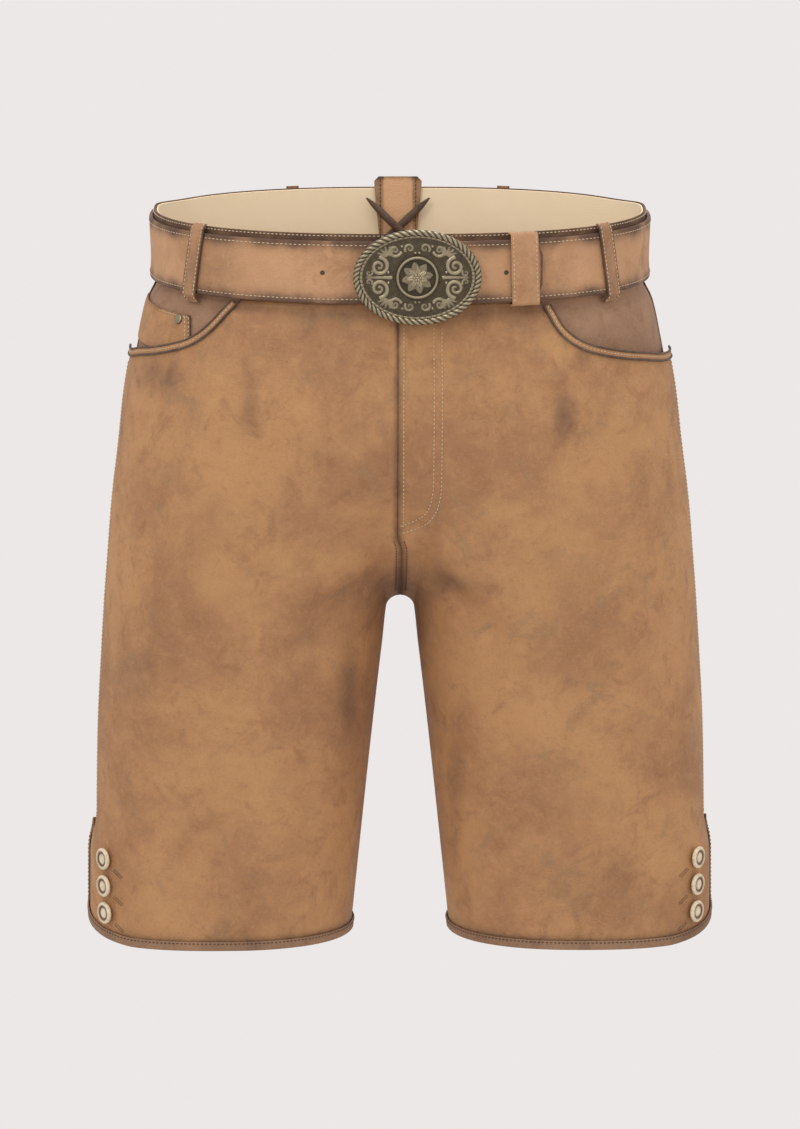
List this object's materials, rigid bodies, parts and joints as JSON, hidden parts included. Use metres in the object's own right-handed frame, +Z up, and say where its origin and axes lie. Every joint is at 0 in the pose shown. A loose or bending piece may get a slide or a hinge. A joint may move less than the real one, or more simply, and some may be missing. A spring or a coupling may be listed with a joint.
{
  "type": "lederhosen, as worn, hollow",
  "caption": "short leather breeches with laced back notch, slanted pockets, buttoned side vents at the hem and a belt with an oval ornamental buckle",
  "frame": {"origin": "centre of the waist opening, level with the waistband's top edge at the sides, where the wearer's waist holds it", "axes": "+Z up along the wearer's body, -Y is the garment's front, +X is the wearer's left"},
  "size_m": [0.4636, 0.2756, 0.5501],
  "materials": {
    "body_leather": "nubuck-like tanned goatskin, worn, matt",
    "facing_leather": "the same leather, darker, matt",
    "belt_leather": "thick cowhide, burnished edges, matt",
    "trim_leather": "thin dark binding leather, stitched",
    "lining": "cream cotton waistband lining",
    "gusset_leather": "thin tan leather, smooth",
    "lace_leather": "dark brown leather lace",
    "horn": "polished stag horn, cream with a brown ring",
    "metal": "antiqued white metal, dark in its hollows"
  },
  "bodies": {
    "root": {"front_right": "body_leather", "back_right": "body_leather", "pocket_facing_right": "facing_leather", "pocket_trim_right": "trim_leather", "waistband_right": "body_leather", "waist_lining_right": "lining", "hem_binding_front_right": "trim_leather", "hem_binding_back_right": "trim_leather", "belt_loop_front_right": "belt_leather", "belt_loop_back_right": "belt_leather", "horn_button_right_1": "horn", "horn_button_right_2": "horn", "horn_button_right_3": "horn", "front_left": "body_leather", "back_left": "body_leather", "pocket_facing_left": "facing_leather", "pocket_trim_left": "trim_leather", "waistband_left": "body_leather", "waist_lining_left": "lining", "hem_binding_front_left": "trim_leather", "hem_binding_back_left": "trim_leather", "belt_loop_front_left": "belt_leather", "belt_loop_back_left": "belt_leather", "horn_button_left_1": "horn", "horn_button_left_2": "horn", "horn_button_left_3": "horn", "coin_pocket": "facing_leather", "coin_pocket_rivet": "metal", "fly_underlap": "body_leather", "back_gusset": "gusset_leather", "lace_under": "lace_leather", "lace_over": "lace_leather", "lace_bar": "lace_leather", "belt": "belt_leather", "belt_keeper": "belt_leather", "buckle_plate": "metal", "buckle_rim": "metal", "buckle_medallion": "metal"}
  },
  "joints": []
}
